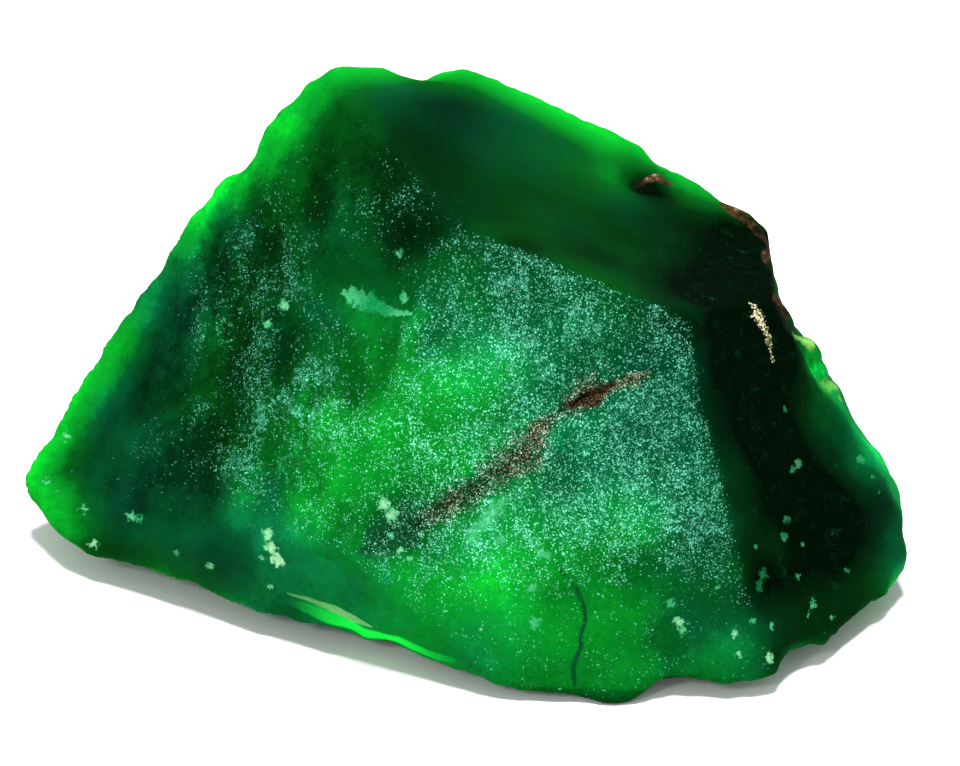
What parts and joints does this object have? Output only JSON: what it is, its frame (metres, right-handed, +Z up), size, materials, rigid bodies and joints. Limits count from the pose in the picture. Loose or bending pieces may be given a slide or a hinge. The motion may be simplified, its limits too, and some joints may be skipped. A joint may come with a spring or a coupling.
{
  "type": "rough emerald",
  "caption": "Loose rough emerald: a wedge of massive, milky green stone with a broad ribbed front, a sparkling front face, a glossy dished top and a flat resting break.",
  "frame": {"origin": "middle of the footprint, on the flat break that the stone rests on", "axes": "+X along the stone's length, +Y from the broad sparkling front to the back, +Z up"},
  "size_m": [0.0611, 0.0409, 0.0318],
  "materials": {
    "green_stone": "waxy broken surface, clouded inside, dark where thick and bright green at thin rims"
  },
  "bodies": {
    "root": {"stone": "green_stone"}
  },
  "joints": []
}
